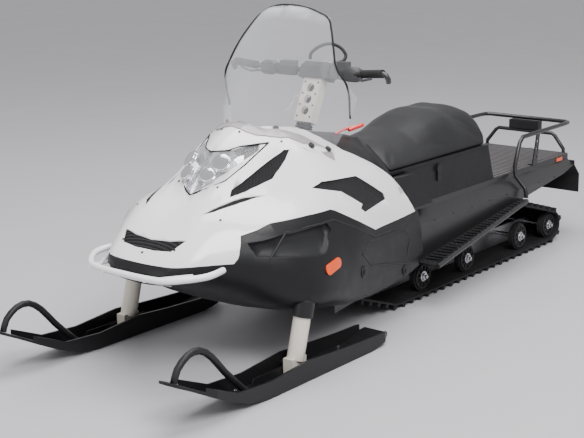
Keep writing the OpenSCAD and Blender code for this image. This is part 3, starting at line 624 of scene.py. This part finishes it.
class SNOWMOBILE_OT_screen(bpy.types.Operator):
    """Trim the windshield's edge and set the black knobs round its base"""

    bl_idname = "snowmobile.screen"
    bl_label = "Windshield trim"

    def execute(self, context):
        radius = context.scene.snowmobile_sizes.trim_radius
        edge = [(0.428, 0.322, 0.90), (0.45, 0.322, 1.038), (0.462, 0.284, 1.096), (0.436, 0.246, 1.181),
                (0.404, 0.212, 1.246), (0.383, 0.18, 1.287), (0.385, 0.14, 1.312), (0.395, 0.08, 1.328)]
        loop = edge + [(0.4, 0.0, 1.334)] + [(x, -y, z) for x, y, z in reversed(edge)]
        points = [touch("windshield", point)[0] for point in loop]
        dressed(pipe(points, radius), "line_black", "root").name = "screen_trim"
        parts = []
        for x, y, z in ((0.664, 0.133, 0.874), (0.582, 0.243, 0.805), (0.484, 0.25, 0.776)):
            node = "windshield_flange" if y < 0.2 else "hood"
            place, normal = touch(node, (x, y, z), 0.004)
            parts.append(knob(place, normal, 0.0135, 0.012, 0.003))
        dressed(joined(mirrored_parts(parts), "screen_knobs"), "screw_black")
        first, _ = touch("hood", (0.608, 0.238, 0.802))
        last, _ = touch("hood", (0.455, 0.252, 0.757))
        middle, normal = touch("hood", (first + last) / 2)
        deselect()
        bpy.ops.mesh.primitive_uv_sphere_add(segments=48, ring_count=24, radius=1.0)
        pad = bpy.context.active_object
        along = (last - first).normalized()
        side = normal.cross(along).normalized()
        turn = Matrix((along, side, normal)).transposed().to_4x4()
        pad.matrix_world = Matrix.Translation(middle - normal * 0.001) @ turn @ Matrix.Diagonal(
            ((last - first).length / 2 + 0.018, 0.03, 0.008, 1.0))
        dressed(joined(mirrored_parts([settle(pad)]), "hood_pads"), "hood_white", degrees=60)
        return {"FINISHED"}


class SNOWMOBILE_OT_hood_trim(bpy.types.Operator):
    """Screws, the headlight's dark surround and its lamps"""

    bl_idname = "snowmobile.hood_trim"
    bl_label = "Hood trim"

    def execute(self, context):
        screws = []
        for x, y, z in ((0.783, 0.046, 0.872), (0.693, 0.185, 0.836), (0.979, 0.102, 0.691),
                        (1.095, 0.218, 0.604), (1.257, 0.134, 0.511)):
            screws.append(knob(*touch("hood", (x, y, z)), 0.005, 0.0035, 0.001, 16))
        nose_screw = knob(*touch("hood", (1.291, 0.0, 0.488)), 0.005, 0.0035, 0.001, 16)
        screws = mirrored_parts(screws) + [nose_screw]
        dressed(joined(screws, "hood_screws"), "screw_black")
        half = [(1.028, 0.0, 0.657), (1.012, 0.034, 0.674), (0.984, 0.074, 0.69), (0.945, 0.113, 0.713),
                (0.857, 0.137, 0.763), (0.737, 0.155, 0.833), (0.827, 0.085, 0.824), (0.864, 0.06, 0.811),
                (0.9, 0.0, 0.806)]
        lens_edge = half + [(x, -y, z) for x, y, z in reversed(half[1:-1])]
        points = [touch("hood", point, 0.0005)[0] for point in lens_edge]
        dressed(self.outline(points, 0.0032), "line_black").name = "headlight_gap"
        lamps = []
        for side in (1, -1):
            for x, y, z, radius in ((0.905, 0.068, 0.752, 0.036), (0.96, 0.045, 0.712, 0.03)):
                place, normal = touch("headlight_lens", (x, side * y, z))
                base = place - normal * 0.022
                lamps.append(bar(base - normal * 0.012, base, radius, 40, 0.003))
                lamps.append(ring(base, normal, radius, 0.003))
        dressed(joined(lamps, "headlight_lamps"), "reflector_silver")
        return {"FINISHED"}

    def outline(self, points, radius):
        """A closed line of straight runs."""
        runs = [bar(a, b, radius, 10) for a, b in zip(points, points[1:] + points[:1])]
        for point in points:
            deselect()
            bpy.ops.mesh.primitive_uv_sphere_add(segments=12, ring_count=8, radius=radius, location=point)
            runs.append(settle(bpy.context.active_object))
        return joined(runs, "outline")


class SNOWMOBILE_OT_hull(bpy.types.Operator):
    """The lip under the hull's seam, its rear panel line, its bosses and the bumper's stays"""

    bl_idname = "snowmobile.hull"
    bl_label = "Hull details"

    def execute(self, context):
        lip = [(1.103, 0.476), (1.069, 0.543), (0.958, 0.571), (0.8, 0.573), (0.666, 0.575),
               (0.644, 0.568), (0.513, 0.502), (0.381, 0.437), (0.2, 0.43), (0.075, 0.427)]
        points = [touch("belly_pan", (x, 0.5, z), -0.001)[0] for x, z in lip]
        parts = [bar(a, b, 0.0042, 12) for a, b in zip(points, points[1:])]
        panel = [(0.497, 0.379), (0.419, 0.418), (0.1, 0.395), (0.03, 0.33), (0.09, 0.24),
                 (0.41, 0.31), (0.497, 0.379)]
        points = [touch("belly_pan", (x, 0.5, z), -0.0015)[0] for x, z in panel]
        parts += [bar(a, b, 0.0045, 12) for a, b in zip(points, points[1:])]
        dressed(joined(mirrored_parts(parts), "hull_lines"), "panel_black")
        stays = []
        for y in (0.11, 0.2):
            start = touch("front_bumper", (1.4, y, 0.42))[0]
            end = touch("belly_pan", (1.24, y * 0.9, 0.43))[0]
            stays.append(bar(start, end, 0.0065, 16))
        dressed(joined(mirrored_parts(stays), "bumper_stays"), "bumper_white")
        bosses = []
        for x, y, z in ((0.463, 0.424, 0.299), (0.094, 0.379, 0.214)):
            place, normal = touch("belly_pan", (x, 0.6, z))
            bosses.append(knob(place, normal, 0.024, 0.006, 0.003, 36))
            bosses.append(knob(place + normal * 0.006, normal, 0.012, 0.004, 0.002, 30))
        dressed(joined(mirrored_parts(bosses), "hull_bosses"), "panel_black")
        return {"FINISHED"}


class SNOWMOBILE_OT_running_gear(bpy.types.Operator):
    """Bearing caps, wheel ribs, tread ribs on the boards and ribs on the deck"""

    bl_idname = "snowmobile.running_gear"
    bl_label = "Running gear, boards and deck"

    def execute(self, context):
        caps, ribs = [], []
        side = Vector((0, 1, 0))
        for x in (-0.185, -0.56, -1.06, -1.355):
            hub = Vector((x, 0.274, 0.092))
            caps.append(bar(hub, hub + side * 0.004, 0.024, 32, 0.0015))
            caps.append(bar(hub + side * 0.003, hub + side * 0.012, 0.017, 32, 0.002))
            caps.append(bar(hub + side * 0.01, hub + side * 0.022, 0.0095, 6, 0.001))
            for k in range(10):
                angle = math.radians(36 * k)
                out = Vector((math.cos(angle), 0, math.sin(angle)))
                inner, outer = (hub + out * reach - side * 0.002 for reach in (0.022, 0.052))
                ribs.append(bar(inner, outer, 0.0045, 8))
            deselect()
            bpy.ops.mesh.primitive_torus_add(
                location=hub - side * 0.001, rotation=(math.pi / 2, 0, 0), major_radius=0.054,
                minor_radius=0.0045, major_segments=48, minor_segments=10)
            ribs.append(settle(bpy.context.active_object))
        dressed(joined(mirrored_parts(caps), "bearing_caps"), "axle_steel")
        dressed(joined(mirrored_parts(ribs), "wheel_ribs"), "wheel_black")
        dressed(joined(mirrored_parts(self.board_teeth()), "board_ribs"), "frame_black")
        pitch = context.scene.snowmobile_sizes.deck_rib
        planks = []
        x = -1.575
        while x < -0.85:
            planks.append(box((x, -0.236, 0.4305), (x + pitch * 0.62, 0.236, 0.4345), 0.0012))
            x += pitch
        dressed(joined(planks, "deck_ribs"), "deck_grey")
        return {"FINISHED"}

    def board_teeth(self):
        """Cross ribs and rows of raised teeth on the upper face of the running board."""
        teeth = []
        x = -0.96
        while x < -0.1:
            reach = [0.316 + 0.008 * k for k in range(15)]
            ends = [(y, z) for y in reach if (z := drop("running_boards", x, y)) is not None]
            if len(ends) > 4:
                (y1, z1), (y2, z2) = ends[0], ends[-1]
                teeth.append(bar((x, y1, z1 + 0.001), (x, y2, z2 + 0.001), 0.0038, 8))
                for k in range(4):
                    share = (k + 0.5) / 4
                    z = drop("running_boards", x + 0.016, y1 + (y2 - y1) * share)
                    if z is not None:
                        deselect()
                        bpy.ops.mesh.primitive_cone_add(
                            vertices=8, radius1=0.0055, radius2=0.003, depth=0.006,
                            location=(x + 0.016, y1 + (y2 - y1) * share, z + 0.002))
                        teeth.append(settle(bpy.context.active_object))
            x += 0.032
        return teeth


class SNOWMOBILE_OT_fittings(bpy.types.Operator):
    """The console's red lever, black discs set inside the steering post as painted shade behind its holes,
    ski bolts and rivets
    """

    bl_idname = "snowmobile.fittings"
    bl_label = "Small fittings"

    def execute(self, context):
        foot, out = touch("console", (0.2, 0.07, 0.768))
        tip = foot + Vector((-0.125, 0.05, 0.03))
        lever = pipe([foot - out * 0.004, foot + Vector((-0.04, 0.012, 0.018)), tip], 0.006)
        grip = bar(foot + (tip - foot) * 0.5, tip + (tip - foot) * 0.06, 0.0085, 20, 0.003)
        dressed(joined([lever, grip], "red_lever"), "lever_red")
        dressed(joined([knob(foot, out, 0.022, 0.01, 0.004, 32)], "lever_boot"), "line_black")
        axis = Vector((-0.4115, 0, 0.9114))
        ahead = Vector((0.9114, 0, 0.4115))
        base = Vector((0.314, 0, 0.836))
        hole_pitch = 0.05
        # Painted shade: black discs with small studs sit inside the hollow post, behind its holes, so that
        # the holes read dark.
        hole_shade_parts = []
        for k in range(3):
            hole = base + axis * (0.048 + hole_pitch * k)
            hole_shade_parts.append(bar(hole - ahead * 0.002, hole + ahead * 0.004, 0.0185, 32, 0.001))
            for turn in range(3):
                angle = math.radians(90 + 120 * turn)
                rim = hole + (axis * math.sin(angle) + Vector((0, 1, 0)) * math.cos(angle)) * 0.0105
                hole_shade_parts.append(bar(rim + ahead * 0.003, rim + ahead * 0.011, 0.0052, 20, 0.001))
        dressed(joined(hole_shade_parts, "post_hole_shade"), "lamp_black", "steering")
        pins = []
        for k in range(4):
            for y in (-0.034, 0.034):
                spot = base + axis * (0.023 + hole_pitch * k) + ahead * 0.0225 + Vector((0, y, 0))
                pins.append(knob(spot, ahead, 0.0042, 0.0035, 0.001, 16))
        dressed(joined(pins, "post_rivets"), "screw_black", "steering")
        for name, y in (("left", 0.45), ("right", -0.45)):
            bolts = []
            for x in (0.956, 0.62, 1.24):
                z = drop("ski_" + name, x, y + 0.05)
                for across in (0.05, -0.05):
                    bolts.append(knob(Vector((x, y + across, z)), Vector((0, 0, 1)), 0.009, 0.007, 0.002, 6))
            dressed(joined(bolts, "ski_bolts_" + name), "axle_steel", f"ski_{name}_body")
        rivets = []
        for k in range(9):
            place, normal = touch("tunnel", (-1.5 + k * 0.16, 0.4, 0.405 if k > 4 else 0.4))
            rivets.append(knob(place, normal, 0.0055, 0.0035, 0.0012, 16))
        dressed(joined(mirrored_parts(rivets), "tunnel_rivets"), "frame_black")
        return {"FINISHED"}


class SNOWMOBILE_OT_stage(bpy.types.Operator):
    """Set the floor, the lights and the camera"""

    bl_idname = "snowmobile.stage"
    bl_label = "Stage"

    def execute(self, context):
        deselect()
        bpy.ops.mesh.primitive_plane_add(size=40)
        floor = named(bpy.context.active_object, "floor")
        pale = Finish("floor_pale", (0.50, 0.49, 0.515), 0.42)
        pale.vary(0.5, 1.2, 0.86).worn(0.42, 0.18, 3.0)
        floor.data.materials.append(pale.material)
        world = bpy.data.worlds.new("studio")
        world.use_nodes = True
        sky = world.node_tree.nodes["Background"]
        sky.inputs["Color"].default_value = (0.93, 0.93, 0.95, 1.0)
        sky.inputs["Strength"].default_value = 0.72
        context.scene.world = world
        lamps = (("key", (2.5, 4.0, 5.0), 3.0, 400), ("top", (-0.5, 0.0, 5.5), 4.0, 330),
                 ("front", (6.0, -1.5, 2.8), 3.0, 70))
        for name, place, size, power in lamps:
            lamp = bpy.data.lights.new(name, "AREA")
            lamp.size = size
            lamp.energy = power
            obj = bpy.data.objects.new(name, lamp)
            obj.location = place
            aim = Vector((0.0, 0.0, 0.5)) - Vector(place)
            obj.rotation_euler = aim.to_track_quat("-Z", "Y").to_euler()
            context.collection.objects.link(obj)
        camera = bpy.data.cameras.new("camera")
        camera.lens = 80.04
        camera.sensor_width = 36.0
        view = bpy.data.objects.new("camera", camera)
        yaw, pitch, roll = (math.radians(a) for a in (219.26675, 13.94945, -0.83557))
        ahead = Vector((math.cos(yaw) * math.cos(pitch), math.sin(yaw) * math.cos(pitch), -math.sin(pitch)))
        side = ahead.cross(Vector((0, 0, 1))).normalized()
        rise = side.cross(ahead)
        right = math.cos(roll) * side + math.sin(roll) * rise
        up = math.cos(roll) * rise - math.sin(roll) * side
        view.matrix_world = Matrix.Translation((4.5378, 3.3749, 1.7624)) @ Matrix(
            (right, up, -ahead)).transposed().to_4x4()
        context.collection.objects.link(view)
        context.scene.camera = view
        return {"FINISHED"}


OPERATORS = [
    SNOWMOBILE_OT_finishes, SNOWMOBILE_OT_shells, SNOWMOBILE_OT_seat, SNOWMOBILE_OT_screen,
    SNOWMOBILE_OT_hood_trim, SNOWMOBILE_OT_hull, SNOWMOBILE_OT_running_gear, SNOWMOBILE_OT_fittings]


class SNOWMOBILE_PT_panel(bpy.types.Panel):
    """Lists the steps that build the snowmobile."""

    bl_idname = "SNOWMOBILE_PT_panel"
    bl_label = "Snowmobile"
    bl_space_type = "VIEW_3D"
    bl_region_type = "UI"
    bl_category = "Snowmobile"

    def draw(self, context):
        for step in OPERATORS + [SNOWMOBILE_OT_stage]:
            self.layout.operator(step.bl_idname)


def classes():
    return [SnowmobileColours, SnowmobileSizes, *OPERATORS, SNOWMOBILE_OT_stage, SNOWMOBILE_PT_panel]


def register():
    for cls in classes():
        bpy.utils.register_class(cls)
    bpy.types.Scene.snowmobile_colours = bpy.props.PointerProperty(type=SnowmobileColours)
    bpy.types.Scene.snowmobile_sizes = bpy.props.PointerProperty(type=SnowmobileSizes)


def unregister():
    del bpy.types.Scene.snowmobile_sizes
    del bpy.types.Scene.snowmobile_colours
    for cls in reversed(classes()):
        bpy.utils.unregister_class(cls)


def main():
    """Builds everything in order."""
    register()
    for step in OPERATORS + [SNOWMOBILE_OT_stage]:
        group, name = step.bl_idname.split(".")
        getattr(getattr(bpy.ops, group), name)()


if __name__ == "__main__":
    main()
